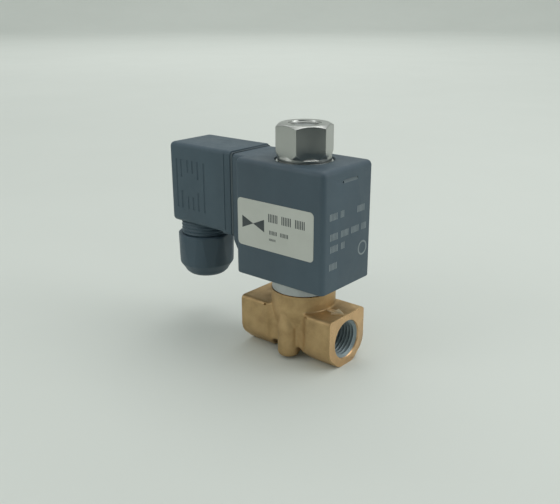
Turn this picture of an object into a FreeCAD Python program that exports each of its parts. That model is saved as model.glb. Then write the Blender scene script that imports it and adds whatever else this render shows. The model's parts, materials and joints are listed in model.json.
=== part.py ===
import FreeCAD, Part
import math
import os
from FreeCAD import Vector

# Direct-acting two-way solenoid valve with a plug-in cable connector.
# Millimetres. +Z runs up the stem, +X is the outlet, the origin lies on the
# underside of the body, under the stem. Pieces are written one STEP each.

# ---- driving dimensions -------------------------------------------------
FIT = 0.08                 # radial gap of a turning or sliding fit
SNUG = 0.02                # gap around a piece that is held still

BODY_X0 = -21.0            # inlet face
BODY_X1 = 19.3             # outlet face
BODY_HALF_WIDTH = 10.2
BODY_TOP = 18.8
WAIST_HALF_WIDTH = 8.9
WAIST_X = 6.2              # the waist beside each lug ends here
SHOULDER_X = 8.0           # and the full width starts here
SOLE_HALF_WIDTH = 2.6      # flat strips that the valve stands on
ARCH_X0, ARCH_X1 = -7.6, 6.4   # arch under the body, between the two blocks
ARCH_SPLAY = 2.4           # its sides slope outwards by this much
ARCH_HEIGHT = 4.9
SOLE_PAD_R = 2.2           # round pad in the middle of the arch
BOSS_R = 11.5
BOSS_TOP = 24.6
BOSS_TAPER_Z = 18.6        # below this the boss narrows
BOSS_FOOT_R = 10.3
BOSS_FOOT_Z = 13.0
LUG_R = 3.6
LUG_Y = 8.5
LUG_BOTTOM = 1.0
FOOT_HOLE_R = 1.65         # M4 tapping size
FOOT_HOLE_DEPTH = 6.5

PORT_Z = 9.5
PORT_R = 5.72              # G1/4 minor radius
PORT_MOUTH_R = 7.25
PORT_DEPTH = 11.5
SEAT_TOP = 15.5
SEAT_R = 2.9
ORIFICE_R = 2.0
CHAMBER_R = 6.2
CHAMBER_FLOOR = 13.0
SPIGOT_R = 7.9
SPIGOT_BOTTOM = 19.0
SEAL_GROOVE_Z = 17.4       # floor of the seal ring's counterbore
SEAL_RING_R = 7.1
SEAL_CORD_R = 0.76

COLLAR_R = 11.2
COLLAR_TOP = 29.1
TUBE_R = 5.0
TUBE_BORE = 4.6
TUBE_THREAD_R = 4.85
TUBE_THREAD_Z = 67.0       # the nut's thread starts above this
TUBE_END_WALL = 1.0
TUBE_TOP = 81.5
LIFT = 2.0                 # plunger travel
PLUNGER_BOTTOM = 16.3
PLUNGER_TOP = 53.0
CORE_BOTTOM = PLUNGER_TOP + LIFT + 0.05
PAD_R = 3.2                # rubber pad in the plunger's foot
PAD_TOP = 18.0
SPRING_POCKET_R = 2.4
SPRING_POCKET_FLOOR = 45.0
SPRING_WIRE_R = 0.3
SPRING_COIL_R = 1.85
SPRING_TURNS = 7

COIL_X0 = -19.8
COIL_X1 = 18.6
COIL_HALF_WIDTH = 13.8
COIL_Z0 = 29.2
COIL_Z1 = 70.6
COIL_EDGE_R = 1.6
COIL_WALL = 2.0
CAVITY_HALF_X = 15.6
CAVITY_HALF_Y = 10.5
NUT_POCKET_R = 10.2
YOKE_T = 2.0
BOBBIN_RIM_R = 10.3
BOBBIN_DRUM_R = 6.1
BOBBIN_CHEEK_T = 1.4
COIL_WASHER_R = 9.9

PEDESTAL_X = -24.0         # face that the connector is screwed to
PEDESTAL_HALF_WIDTH = 10.2
PEDESTAL_Z0 = 39.4
PEDESTAL_SLOPE = 1.8       # fall of its underside towards the coil, per mm

NUT_ACROSS_FLATS = 17.4
NUT_CORNER_DEG = -8.3
NUT_BOTTOM = 70.1
NUT_TOP = 82.6
NUT_CHAMFER_R = 8.3
NUT_FOOT_R = 9.2

PLUG_X0 = -56.2            # outer face of the connector
PLUG_STEP_X = -27.8        # side step between grip and foot
PLUG_X1 = -24.9            # foot face, on the gasket
PLUG_HALF_WIDTH = 10.75
PLUG_FOOT_HALF_WIDTH = 10.6
PLUG_Z0 = 41.1
PLUG_FOOT_Z0 = 40.4
PLUG_Z1 = 71.4
PLUG_WALL = 1.85
GRIP_X0 = -52.2            # first groove of the finger grip
GRIP_PITCH = 2.86
GRIP_COUNT = 6
GRIP_Z0, GRIP_Z1 = 47.0, 65.2
PLUG_MID_Z = 56.3
BLADE_SPACING = 11.0
BLADE_T = 0.8
BLADE_W = 6.3
BLADE_TIP_X = -33.0
BLADE_ROOT_X = -20.5
EARTH_Y = 6.2
EARTH_BLADE_W = 4.8
INSERT_R = 2.6             # brass insert for the connector screw
INSERT_X1 = -18.1
SCREW_R = 1.45             # M3 screw through the connector
SCREW_HEAD_R = 2.75
SCREW_SEAT_X = -53.8

GLAND_X = -48.9
GLAND_NECK_R = 9.3
GLAND_NECK_BOTTOM = 27.0
GLAND_THREAD_PITCH = 1.4
GLAND_NUT_TOP = 35.6
GLAND_NUT_SHOULDER = 23.6   # where its flats run out into the dome
GLAND_NUT_BOTTOM = 18.6
GLAND_NUT_R = 10.9
GLAND_NUT_FLATS = 20.9
GLAND_NUT_SIDES = 8
GLAND_CORNER_DEG = -12.9
CABLE_HOLE_R = 4.5
GROMMET_BORE = 3.5
GROMMET_R = 6.4

LABEL_X0, LABEL_X1 = -18.3, 14.8
LABEL_Z0, LABEL_Z1 = 40.3, 57.1
LABEL_T = 0.12


# ---- small helpers ------------------------------------------------------
def block(x0, x1, y0, y1, z0, z1):
    return Part.makeBox(x1 - x0, y1 - y0, z1 - z0, Vector(x0, y0, z0))


def rod_x(radius, x0, x1, y=0.0, z=0.0):
    return Part.makeCylinder(radius, x1 - x0, Vector(x0, y, z), Vector(1, 0, 0))


def rod_z(radius, z0, z1, x=0.0, y=0.0):
    return Part.makeCylinder(radius, z1 - z0, Vector(x, y, z0), Vector(0, 0, 1))


def cone_z(radius0, radius1, z0, z1, x=0.0, y=0.0):
    return Part.makeCone(radius0, radius1, z1 - z0, Vector(x, y, z0), Vector(0, 0, 1))


def ring_z(outer, inner, z0, z1, x=0.0, y=0.0):
    return rod_z(outer, z0, z1, x, y).cut(rod_z(inner, z0 - 1, z1 + 1, x, y))


def turned(profile, x=0.0):
    """Solid of revolution about a vertical axis at x; profile is (radius, z)."""
    points = [Vector(x + r, 0, z) for r, z in profile]
    face = Part.Face(Part.makePolygon(points + points[:1]))
    return face.revolve(Vector(x, 0, 0), Vector(0, 0, 1), 360)


def rounded_prism(corners, place, extrusion):
    """Prism over a polygon whose corners are (u, v, radius)."""
    edges = []
    ends = []
    count = len(corners)
    for i in range(count):
        before = place(*corners[i - 1][:2])
        here = place(*corners[i][:2])
        after = place(*corners[(i + 1) % count][:2])
        radius = corners[i][2]
        to_before = (before - here).normalize()
        to_after = (after - here).normalize()
        half = to_before.getAngle(to_after) / 2
        reach = radius / math.tan(half)
        first = here + to_before * reach
        last = here + to_after * reach
        if radius > 0:
            middle = (to_before + to_after).normalize()
            nearest = here + middle * (radius / math.sin(half) - radius)
            edges.append(Part.Arc(first, nearest, last).toShape())
        ends.append((first, last))
    for i in range(count):
        start = ends[i - 1][1]
        stop = ends[i][0]
        edges.append(Part.LineSegment(start, stop).toShape())
    wire = Part.Wire(Part.__sortEdges__(edges))
    return Part.Face(wire).extrude(extrusion)


def prism_sides(sides, across_flats, first_corner_deg, z0, z1, x=0.0):
    corner_r = across_flats / 2 / math.cos(math.pi / sides)
    points = []
    for k in range(sides + 1):
        angle = math.radians(first_corner_deg + 360.0 / sides * k)
        points.append(Vector(x + corner_r * math.cos(angle), corner_r * math.sin(angle), z0))
    return Part.Face(Part.makePolygon(points)).extrude(Vector(0, 0, z1 - z0))


def rounded_block(x0, x1, y0, y1, z0, z1, radius, skip=None):
    """Box with rounded edges; skip(edge centre) leaves an edge sharp."""
    solid = block(x0, x1, y0, y1, z0, z1)
    edges = [e for e in solid.Edges if skip is None or not skip(e.CenterOfMass)]
    return solid.makeFillet(radius, edges)


# ---- valve body and what is inside it -----------------------------------
def body_outline():
    half, sole = BODY_HALF_WIDTH, SOLE_HALF_WIDTH
    corner_r, corner_z, sole_r = 5.6, 5.2, 4.4
    sole_corner = sole + 1.6
    section = [(-half, BODY_TOP, 1.2), (-half, corner_z, corner_r), (-sole_corner, 0, sole_r),
               (sole_corner, 0, sole_r), (half, corner_z, corner_r), (half, BODY_TOP, 1.2)]
    length = Vector(BODY_X1 - BODY_X0, 0, 0)
    bar = rounded_prism(section, lambda y, z: Vector(BODY_X0, y, z), length)
    waist = WAIST_HALF_WIDTH
    front = [(BODY_X0, -half, 0.6), (-SHOULDER_X, -half, 2.0), (-WAIST_X, -waist, 1.6),
             (WAIST_X, -waist, 1.6), (SHOULDER_X, -half, 2.0), (BODY_X1, -half, 0.6)]
    back = [(x, -y, radius) for x, y, radius in reversed(front)]
    plan = front + back
    waisted = rounded_prism(plan, lambda x, y: Vector(x, y, -1), Vector(0, 0, BODY_TOP + 2))
    return bar.common(waisted)


def underside_arch():
    """Arch across the underside, which leaves the lugs standing free."""
    arch = [(ARCH_X0 - ARCH_SPLAY, -1, 0), (ARCH_X0, ARCH_HEIGHT, 2.4), (ARCH_X1, ARCH_HEIGHT, 2.4),
            (ARCH_X1 + ARCH_SPLAY, -1, 0)]
    return rounded_prism(arch, lambda x, z: Vector(x, -14, z), Vector(0, 28, 0))


def make_valve_body():
    body = body_outline().cut(underside_arch())
    body = body.fuse(rod_z(SOLE_PAD_R, 0, ARCH_HEIGHT + 1))
    root_r, root_z, rim = 7.0, BOSS_FOOT_Z - 4.0, 0.5
    body = body.fuse(turned([(0, root_z), (root_r, root_z), (BOSS_FOOT_R, BOSS_FOOT_Z),
                             (BOSS_R, BOSS_TAPER_Z), (BOSS_R, BOSS_TOP - rim),
                             (BOSS_R - rim, BOSS_TOP), (0, BOSS_TOP)]))
    foot_ring = cone_z(BOSS_R + 1.0, BOSS_R, BODY_TOP, BODY_TOP + 1.0)
    over_blocks = block(BODY_X0, BODY_X1, -9, 9, BODY_TOP - 1, BODY_TOP + 2)
    body = body.fuse(foot_ring.common(over_blocks))
    chamfer, lug_top = 0.8, BOSS_FOOT_Z + 3.0
    for side in (-1, 1):
        y = LUG_Y * side
        lug = turned([(0, LUG_BOTTOM), (LUG_R - chamfer, LUG_BOTTOM), (LUG_R, LUG_BOTTOM + chamfer),
                      (LUG_R, lug_top), (0, lug_top)])
        lug.translate(Vector(0, y, 0))
        rib = block(-LUG_R, LUG_R, min(0, y), max(0, y), LUG_BOTTOM + chamfer, lug_top - 0.5)
        body = body.fuse(lug).fuse(rib)
    for side in (-1, 1):
        body = body.cut(rod_z(FOOT_HOLE_R, LUG_BOTTOM - 1, LUG_BOTTOM + FOOT_HOLE_DEPTH, 0, LUG_Y * side))
        body = body.cut(port_hole(side))
    return body.cut(stem_chamber()).removeSplitter()


def port_hole(side):
    face_x = BODY_X1 if side > 0 else -BODY_X0
    wall_x = face_x - (PORT_MOUTH_R - PORT_R)
    hole = rod_x(PORT_R, face_x - PORT_DEPTH, face_x + 1, 0, PORT_Z)
    mouth = Part.makeCone(PORT_R, PORT_MOUTH_R, face_x - wall_x, Vector(wall_x, 0, PORT_Z), Vector(1, 0, 0))
    hole = hole.fuse(mouth)
    if side < 0:
        hole = hole.mirror(Vector(0, 0, 0), Vector(1, 0, 0))
    return hole


def stem_chamber():
    """Seal counterbore, chamber round the raised seat, and the two flow passages."""
    inlet_x, passage_r = -4.6, 2.2
    outlet_floor = BODY_X1 - PORT_DEPTH
    inlet_floor = BODY_X0 + PORT_DEPTH
    chamber = rod_z(CHAMBER_R, CHAMBER_FLOOR, BOSS_TOP + 1)
    chamber = chamber.fuse(rod_z(SPIGOT_R + 0.1, SEAL_GROOVE_Z, BOSS_TOP + 1))
    chamber = chamber.cut(rod_z(SEAT_R, CHAMBER_FLOOR - 1, SEAT_TOP))
    chamber = chamber.fuse(rod_z(ORIFICE_R, PORT_Z, SEAT_TOP + 1))
    chamber = chamber.fuse(rod_x(passage_r, 0, outlet_floor + 1, 0, PORT_Z))
    chamber = chamber.fuse(rod_z(1.4, PORT_Z, CHAMBER_FLOOR + 1, inlet_x))
    return chamber.fuse(rod_x(passage_r, inlet_floor - 1, inlet_x + 0.6, 0, PORT_Z))


def make_tube_seal_ring():
    centre_z = (SEAL_GROOVE_Z + SPIGOT_BOTTOM) / 2
    return Part.makeTorus(SEAL_RING_R, SEAL_CORD_R, Vector(0, 0, centre_z), Vector(0, 0, 1))


def make_armature_tube():
    collar_z, chamfer = BOSS_TOP + 0.15, 0.4
    tube = turned([(0, SPIGOT_BOTTOM), (SPIGOT_R, SPIGOT_BOTTOM), (SPIGOT_R, collar_z),
                   (COLLAR_R, collar_z), (COLLAR_R, COLLAR_TOP - chamfer),
                   (COLLAR_R - chamfer, COLLAR_TOP), (TUBE_R, COLLAR_TOP), (TUBE_R, TUBE_THREAD_Z),
                   (TUBE_THREAD_R, TUBE_THREAD_Z + 0.2), (TUBE_THREAD_R, TUBE_TOP - chamfer),
                   (TUBE_THREAD_R - chamfer, TUBE_TOP), (0, TUBE_TOP)])
    return tube.cut(rod_z(TUBE_BORE, SPIGOT_BOTTOM - 1, TUBE_TOP - TUBE_END_WALL))


def make_fixed_core():
    core = rod_z(TUBE_BORE - SNUG, CORE_BOTTOM, TUBE_TOP - TUBE_END_WALL - SNUG)
    crimp_z, crimp_depth = 72.0, 0.4
    return core.cut(ring_z(TUBE_BORE + 1, TUBE_BORE - crimp_depth, crimp_z, crimp_z + 1.5))


def make_plunger():
    plunger = rod_z(TUBE_BORE - FIT, PLUNGER_BOTTOM, PLUNGER_TOP)
    plunger = plunger.cut(rod_z(SPRING_POCKET_R, SPRING_POCKET_FLOOR, PLUNGER_TOP + 1))
    plunger = plunger.cut(rod_z(PAD_R + SNUG, PLUNGER_BOTTOM - 1, PAD_TOP + SNUG))
    groove_y, half_width, half_depth = 4.0, 0.6, 0.7
    for side in (-1, 1):
        y = groove_y * side
        plunger = plunger.cut(block(-half_width, half_width, y - half_depth, y + half_depth,
                                    PLUNGER_BOTTOM - 1, PLUNGER_TOP + 1))
    return plunger


def make_plunger_seal():
    chamfer = 0.2
    return turned([(0, SEAT_TOP), (PAD_R - chamfer, SEAT_TOP), (PAD_R, SEAT_TOP + chamfer),
                   (PAD_R, PAD_TOP), (0, PAD_TOP)])


def make_plunger_spring():
    z0 = SPRING_POCKET_FLOOR + SPRING_WIRE_R + SNUG
    z1 = CORE_BOTTOM - SPRING_WIRE_R - SNUG
    helix = Part.makeHelix((z1 - z0) / SPRING_TURNS, z1 - z0, SPRING_COIL_R)
    circle = Part.Circle(Vector(SPRING_COIL_R, 0, 0), Vector(0, 1, 0), SPRING_WIRE_R)
    section = Part.Wire([circle.toShape()])
    spring = Part.Wire(helix.Edges).makePipeShell([section], True, True)
    spring.translate(Vector(0, 0, z0))
    return spring


# ---- coil ----------------------------------------------------------------
def coil_outer():
    shell = rounded_block(COIL_X0, COIL_X1, -COIL_HALF_WIDTH, COIL_HALF_WIDTH,
                          COIL_Z0, COIL_Z1, COIL_EDGE_R, lambda c: c.z < COIL_Z0 + 1)
    shell = shell.makeFillet(0.5, [e for e in shell.Edges if e.BoundBox.ZMax < COIL_Z0 + 0.1])
    inner_x = COIL_X0 + 1.0
    lowest = PEDESTAL_Z0 - PEDESTAL_SLOPE * (inner_x - PEDESTAL_X)
    side = [(PEDESTAL_X, PEDESTAL_Z0, 0.8), (PEDESTAL_X, COIL_Z1, 0.5), (inner_x, COIL_Z1, 0),
            (inner_x, lowest, 0)]
    width = PEDESTAL_HALF_WIDTH
    pedestal = rounded_prism(side, lambda x, z: Vector(x, -width, z), Vector(0, 2 * width, 0))
    across = rounded_block(PEDESTAL_X, COIL_X1, -width, width, COIL_Z0, COIL_Z1, COIL_EDGE_R,
                           lambda c: c.z < COIL_Z0 + 1 or c.x > COIL_X1 - 1 or abs(c.x - PEDESTAL_X) < 0.1)
    return shell.fuse(pedestal.common(across))


def blade_boxes(x0, x1, gap=0.0):
    """The two power blades and the earth blade, as boxes grown by gap."""
    half_t, half_w = BLADE_T / 2 + gap, BLADE_W / 2 + gap
    power = []
    for side in (-1, 1):
        z = PLUG_MID_Z + side * BLADE_SPACING / 2
        power.append(block(x0, x1, -half_w, half_w, z - half_t, z + half_t))
    half_w = EARTH_BLADE_W / 2 + gap
    earth = block(x0, x1, EARTH_Y - half_t, EARTH_Y + half_t, PLUG_MID_Z - half_w, PLUG_MID_Z + half_w)
    return power, earth


def make_coil_housing():
    housing = coil_outer()
    top, bottom = COIL_Z1 - COIL_WALL, COIL_Z0 + COIL_WALL
    cavity = block(-CAVITY_HALF_X, CAVITY_HALF_X, -CAVITY_HALF_Y, CAVITY_HALF_Y, bottom, top)
    housing = housing.cut(cavity)
    housing = housing.cut(rod_z(NUT_POCKET_R, top - 0.5, COIL_Z1 + 1))
    housing = housing.cut(rod_z(TUBE_R + 1.0, COIL_Z0 - 1, bottom + 0.5))
    power, earth = blade_boxes(PEDESTAL_X - 1, BLADE_ROOT_X + 0.1, SNUG)
    for slot in power + [earth]:
        housing = housing.cut(slot)
    housing = housing.cut(rod_x(INSERT_R + SNUG, PEDESTAL_X - 1, INSERT_X1 + 0.1, 0, PLUG_MID_Z))
    mark_z, mark_y0, mark_length = 66.5, -3.4, 8.2
    notch = [(COIL_X1 + 0.1, mark_z - 0.6, 0), (COIL_X1 - 0.5, mark_z, 0), (COIL_X1 + 0.1, mark_z + 0.2, 0)]
    return housing.cut(rounded_prism(notch, lambda x, z: Vector(x, mark_y0, z), Vector(0, mark_length, 0)))


def make_yoke_frame():
    x, y = CAVITY_HALF_X - SNUG, CAVITY_HALF_Y - SNUG
    z0, z1 = COIL_Z0 + COIL_WALL + SNUG, COIL_Z1 - COIL_WALL - SNUG
    frame = block(-x, x, -y, y, z0, z1)
    frame = frame.cut(block(-x + YOKE_T, x - YOKE_T, -y - 1, y + 1, z0 + YOKE_T, z1 - YOKE_T))
    return frame.cut(rod_z(TUBE_R + FIT, z0 - 1, z1 + 1))


def bobbin_span():
    z0 = COIL_Z0 + COIL_WALL + YOKE_T + 0.1
    z1 = COIL_Z1 - COIL_WALL - YOKE_T - 0.1
    return z0, z1


def make_bobbin():
    z0, z1 = bobbin_span()
    bore, rim, drum, cheek = TUBE_R + FIT, BOBBIN_RIM_R, BOBBIN_DRUM_R, BOBBIN_CHEEK_T
    return turned([(bore, z0), (rim, z0), (rim, z0 + cheek), (drum, z0 + cheek),
                   (drum, z1 - cheek), (rim, z1 - cheek), (rim, z1), (bore, z1)])


def make_coil_winding():
    z0, z1 = bobbin_span()
    inset = BOBBIN_CHEEK_T + SNUG
    return ring_z(BOBBIN_RIM_R - 0.4, BOBBIN_DRUM_R + SNUG, z0 + inset, z1 - inset)


def make_power_blades():
    power, _ = blade_boxes(BLADE_TIP_X, BLADE_ROOT_X)
    return Part.makeCompound(power)


def make_earth_blade():
    _, earth = blade_boxes(BLADE_TIP_X, BLADE_ROOT_X)
    return earth


def make_screw_insert():
    insert = rod_x(INSERT_R, PEDESTAL_X, INSERT_X1, 0, PLUG_MID_Z)
    return insert.cut(rod_x(SCREW_R + 0.05, PEDESTAL_X - 1, INSERT_X1 - 0.9, 0, PLUG_MID_Z))


def make_nameplate():
    x0, x1, z0, z1, corner_r = LABEL_X0, LABEL_X1, LABEL_Z0, LABEL_Z1, 1.4
    label = [(x0, z0, corner_r), (x1, z0, corner_r), (x1, z1, corner_r), (x0, z1, corner_r)]
    return rounded_prism(label, lambda x, z: Vector(x, -COIL_HALF_WIDTH, z), Vector(0, -LABEL_T, 0))


def make_coil_washer():
    return ring_z(COIL_WASHER_R, TUBE_R + 0.2, COIL_Z1 - COIL_WALL, NUT_BOTTOM - 0.05)


def make_coil_nut():
    hexagon = prism_sides(6, NUT_ACROSS_FLATS, NUT_CORNER_DEG, NUT_BOTTOM, NUT_TOP)
    corner_r = NUT_ACROSS_FLATS / math.sqrt(3) + 0.1
    slope = math.tan(math.radians(30))
    top_fall = (corner_r - NUT_CHAMFER_R) * slope
    low_r, low_z = NUT_FOOT_R - 0.2, NUT_BOTTOM + 0.5
    envelope = turned([(0, low_z), (low_r, low_z), (corner_r, NUT_BOTTOM + 4.0),
                       (corner_r, NUT_TOP - top_fall), (NUT_CHAMFER_R, NUT_TOP), (0, NUT_TOP)])
    flare_z = NUT_BOTTOM + 3.2
    foot = turned([(0, NUT_BOTTOM), (low_r, NUT_BOTTOM), (NUT_FOOT_R, NUT_BOTTOM + 0.2),
                   (NUT_FOOT_R, NUT_BOTTOM + 1.4), (NUT_FOOT_R - 0.8, flare_z), (0, flare_z)])
    bore = rod_z(TUBE_THREAD_R + 0.05, NUT_BOTTOM - 1, NUT_TOP + 1)
    mouth = cone_z(TUBE_THREAD_R, TUBE_THREAD_R + 0.6, NUT_TOP - 0.55, NUT_TOP + 0.05)
    return hexagon.common(envelope).fuse(foot).cut(bore).cut(mouth)


# ---- connector -----------------------------------------------------------
def neck_profile():
    """Threaded neck of the cable gland, cut as V rings down to the nut's seat."""
    crest, root = GLAND_NECK_R, GLAND_NECK_R - 0.6
    profile = [(5.0, PLUG_Z0 + 1.0), (root, PLUG_Z0 + 1.0), (root, PLUG_Z0 - 0.2)]
    z = PLUG_Z0 - 0.2
    while z - GLAND_THREAD_PITCH > GLAND_NECK_BOTTOM:
        profile += [(crest, z - 0.45), (crest, z - 0.75), (root, z - 1.2)]
        z -= GLAND_THREAD_PITCH
    return profile + [(root - 0.4, GLAND_NECK_BOTTOM), (5.0, GLAND_NECK_BOTTOM)]


def side_grooves():
    """Finger grip on both flanks: upright grooves."""
    z0, z1, half_width, depth = GRIP_Z0, GRIP_Z1, 0.4, 0.35
    grooves = []
    for side in (-1, 1):
        y = PLUG_HALF_WIDTH * side
        for k in range(GRIP_COUNT):
            x = GRIP_X0 + GRIP_PITCH * k
            grooves.append(block(x - half_width, x + half_width, y - depth, y + depth, z0, z1))
    return grooves


def make_connector_housing():
    half, foot = PLUG_HALF_WIDTH, PLUG_FOOT_HALF_WIDTH
    grip = rounded_block(PLUG_X0, PLUG_STEP_X, -half, half, PLUG_Z0, PLUG_Z1, 1.8,
                         lambda c: c.x > PLUG_STEP_X - 0.1)
    base = rounded_block(PLUG_STEP_X - 1, PLUG_X1, -foot, foot, PLUG_FOOT_Z0, PLUG_Z1, 1.6,
                         lambda c: c.x > PLUG_X1 - 0.1 or c.x < PLUG_STEP_X - 0.9)
    housing = grip.fuse(base)
    bulge = rod_z(GLAND_NECK_R - 0.3, PLUG_Z0, 50.0, GLAND_X).fuse(
        cone_z(GLAND_NECK_R - 0.3, 6.0, 50.0, 55.0, GLAND_X))
    housing = housing.fuse(bulge.common(block(-60, -40, -half, half, 40, 60)))
    housing = housing.fuse(turned(neck_profile(), GLAND_X))
    inner = half - PLUG_WALL
    cavity = block(PLUG_X0 + 2.2, PLUG_X1 + 1, -inner, inner, PLUG_Z0 + PLUG_WALL, PLUG_Z1 - PLUG_WALL)
    housing = housing.cut(cavity)
    housing = housing.cut(rod_z(5.0, GLAND_NECK_BOTTOM - 1, PLUG_Z0 + PLUG_WALL + 1, GLAND_X))
    housing = housing.cut(rod_z(GROMMET_R + 0.1, GLAND_NECK_BOTTOM - 1, 36.0, GLAND_X))
    screw_boss = rod_x(4.2, PLUG_X0 + 0.5, PLUG_X0 + 5.0, 0, PLUG_MID_Z)
    housing = housing.fuse(screw_boss)
    housing = housing.cut(rod_x(3.1, PLUG_X0 - 2, PLUG_X0 + 3.0, 0, PLUG_MID_Z))
    housing = housing.cut(rod_x(1.55, PLUG_X0 - 2, PLUG_X0 + 6.0, 0, PLUG_MID_Z))
    for groove in side_grooves():
        housing = housing.cut(groove)
    return housing


def make_connector_gasket():
    gasket = rounded_block(PLUG_X1, PEDESTAL_X, -10.3, 10.3, PLUG_Z0 - 0.4, PLUG_Z1 - 0.5, 1.2,
                           lambda c: abs(c.x - (PLUG_X1 + PEDESTAL_X) / 2) > 0.1)
    return gasket.cut(block(PLUG_X1 - 1, PEDESTAL_X + 1, -7.3, 7.3, 45.0, 67.5))


def sleeve_boxes(gap=0.0):
    power, earth = [], None
    for side in (-1, 1):
        z = PLUG_MID_Z + side * BLADE_SPACING / 2
        power.append(block(-40 - gap, -27, -3.9 - gap, 3.9 + gap, z - 1.3 - gap, z + 1.3 + gap))
    earth = block(-40 - gap, -27, 5.0 - gap, 7.4 + gap, PLUG_MID_Z - 3.1 - gap, PLUG_MID_Z + 3.1 + gap)
    return power + [earth]


def terminal_screw_places():
    half = BLADE_SPACING / 2
    return [(0, PLUG_MID_Z - half), (0, PLUG_MID_Z + half), (6.2, PLUG_MID_Z)]


def make_terminal_block():
    inner = PLUG_HALF_WIDTH - PLUG_WALL - 0.1
    insert = rounded_block(-45.0, -26.0, -inner, inner, PLUG_Z0 + PLUG_WALL + 0.1,
                           PLUG_Z1 - PLUG_WALL - 0.1, 0.8, lambda c: abs(c.x + 35.5) > 1)
    for pocket in sleeve_boxes(SNUG):
        pocket = pocket.fuse(block(-27.5, -25.0, pocket.BoundBox.YMin, pocket.BoundBox.YMax,
                                   pocket.BoundBox.ZMin, pocket.BoundBox.ZMax))
        insert = insert.cut(pocket)
    for y, z in terminal_screw_places():
        insert = insert.cut(rod_x(1.25, -46, -39, y, z))
    return insert.cut(rod_x(1.6, -46, -25, 0, PLUG_MID_Z))


def make_contact_sleeves():
    power, earth = blade_boxes(-38.5, -26.0, 0.05)
    sleeves = []
    for body, slot in zip(sleeve_boxes(), power + [earth]):
        sleeves.append(body.cut(slot))
    return Part.makeCompound(sleeves)


def make_terminal_screws():
    screws = []
    for y, z in terminal_screw_places():
        head = rod_x(2.0, -46.7, -45.05, y, z)
        shank = rod_x(1.2, -45.1, -40.1, y, z)
        slot = block(-47.0, -46.2, y - 0.3, y + 0.3, z - 2.5, z + 2.5)
        screws.append(head.fuse(shank).cut(slot))
    return Part.makeCompound(screws)


def make_connector_screw():
    seat_x = SCREW_SEAT_X
    head = rod_x(SCREW_HEAD_R, seat_x - 1.9, seat_x, 0, PLUG_MID_Z)
    shank = rod_x(SCREW_R, seat_x - 0.1, INSERT_X1 - 1.3, 0, PLUG_MID_Z)
    screw = head.fuse(shank)
    reach, half_width, recess_x = 2.0, 0.35, seat_x - 0.9
    for half_y, half_z in ((reach, half_width), (half_width, reach)):
        z0, z1 = PLUG_MID_Z - half_z, PLUG_MID_Z + half_z
        screw = screw.cut(block(seat_x - 3, recess_x, -half_y, half_y, z0, z1))
    return screw


def make_screw_seal():
    seat_x, thickness = SCREW_SEAT_X, 0.58
    seal = rod_x(SCREW_HEAD_R - 0.05, seat_x, seat_x + thickness, 0, PLUG_MID_Z)
    return seal.cut(rod_x(SCREW_R + 0.05, seat_x - 1, seat_x + 1, 0, PLUG_MID_Z))


def make_gland_nut():
    top, bottom = GLAND_NUT_TOP, GLAND_NUT_BOTTOM
    sides = prism_sides(GLAND_NUT_SIDES, GLAND_NUT_FLATS, GLAND_CORNER_DEG, bottom, top, GLAND_X)
    envelope = turned([(0, bottom), (5.6, bottom), (7.2, bottom + 0.6), (8.3, bottom + 1.6),
                       (8.9, bottom + 2.7), (GLAND_NUT_R - 0.6, GLAND_NUT_SHOULDER),
                       (GLAND_NUT_R, top - 0.6), (GLAND_NUT_R - 0.7, top), (0, top)], GLAND_X)
    nut = sides.common(envelope)
    nut = nut.cut(rod_z(GLAND_NECK_R + 0.06, 26.0, top + 1, GLAND_X))
    nut = nut.cut(rod_z(8.0, 23.0, 26.5, GLAND_X))
    return nut.cut(rod_z(CABLE_HOLE_R, bottom - 1, 24, GLAND_X))


def make_gland_washer():
    return ring_z(7.8, CABLE_HOLE_R + 0.1, 23.05, 24.2, GLAND_X)


def make_gland_grommet():
    return ring_z(GROMMET_R, GROMMET_BORE, 24.3, 35.6, GLAND_X)


PIECES = {
    "valve_body": make_valve_body,
    "tube_seal_ring": make_tube_seal_ring,
    "armature_tube": make_armature_tube,
    "fixed_core": make_fixed_core,
    "plunger": make_plunger,
    "plunger_seal": make_plunger_seal,
    "plunger_spring": make_plunger_spring,
    "coil_housing": make_coil_housing,
    "yoke_frame": make_yoke_frame,
    "bobbin": make_bobbin,
    "coil_winding": make_coil_winding,
    "power_blades": make_power_blades,
    "earth_blade": make_earth_blade,
    "screw_insert": make_screw_insert,
    "nameplate": make_nameplate,
    "coil_washer": make_coil_washer,
    "coil_nut": make_coil_nut,
    "connector_housing": make_connector_housing,
    "connector_gasket": make_connector_gasket,
    "terminal_block": make_terminal_block,
    "contact_sleeves": make_contact_sleeves,
    "terminal_screws": make_terminal_screws,
    "connector_screw": make_connector_screw,
    "screw_seal": make_screw_seal,
    "gland_nut": make_gland_nut,
    "gland_washer": make_gland_washer,
    "gland_grommet": make_gland_grommet,
}


def main():
    os.makedirs("parts", exist_ok=True)
    for name, make in PIECES.items():
        shape = make()
        print(name, "valid", shape.isValid(), "solids", len(shape.Solids), "mm3", round(shape.Volume, 1))
        shape.exportStep("parts/" + name + ".step")


main()
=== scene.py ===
import json
import math

import bmesh
import bpy
from mathutils import Matrix, Vector


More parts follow.
